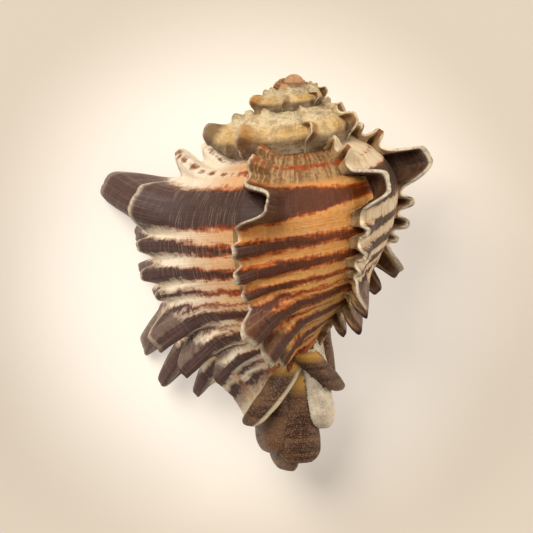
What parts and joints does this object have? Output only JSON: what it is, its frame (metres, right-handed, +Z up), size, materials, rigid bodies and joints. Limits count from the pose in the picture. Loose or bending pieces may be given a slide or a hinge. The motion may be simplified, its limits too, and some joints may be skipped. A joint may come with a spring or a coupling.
{
  "type": "murex shell",
  "caption": "Right-handed spiral sea shell with hollow spines along ridged growth stops, a wide opening underneath and a short canal; lies on its opening.",
  "frame": {"origin": "middle of the box around the shell, at the surface it rests on", "axes": "+Z up, through the back of the shell; +Y towards the tip of the spire; the lip of the opening is at -X"},
  "size_m": [0.0948, 0.113, 0.0717],
  "materials": {
    "shell": "worn satin"
  },
  "bodies": {
    "root": {"shell": "shell"}
  },
  "joints": []
}
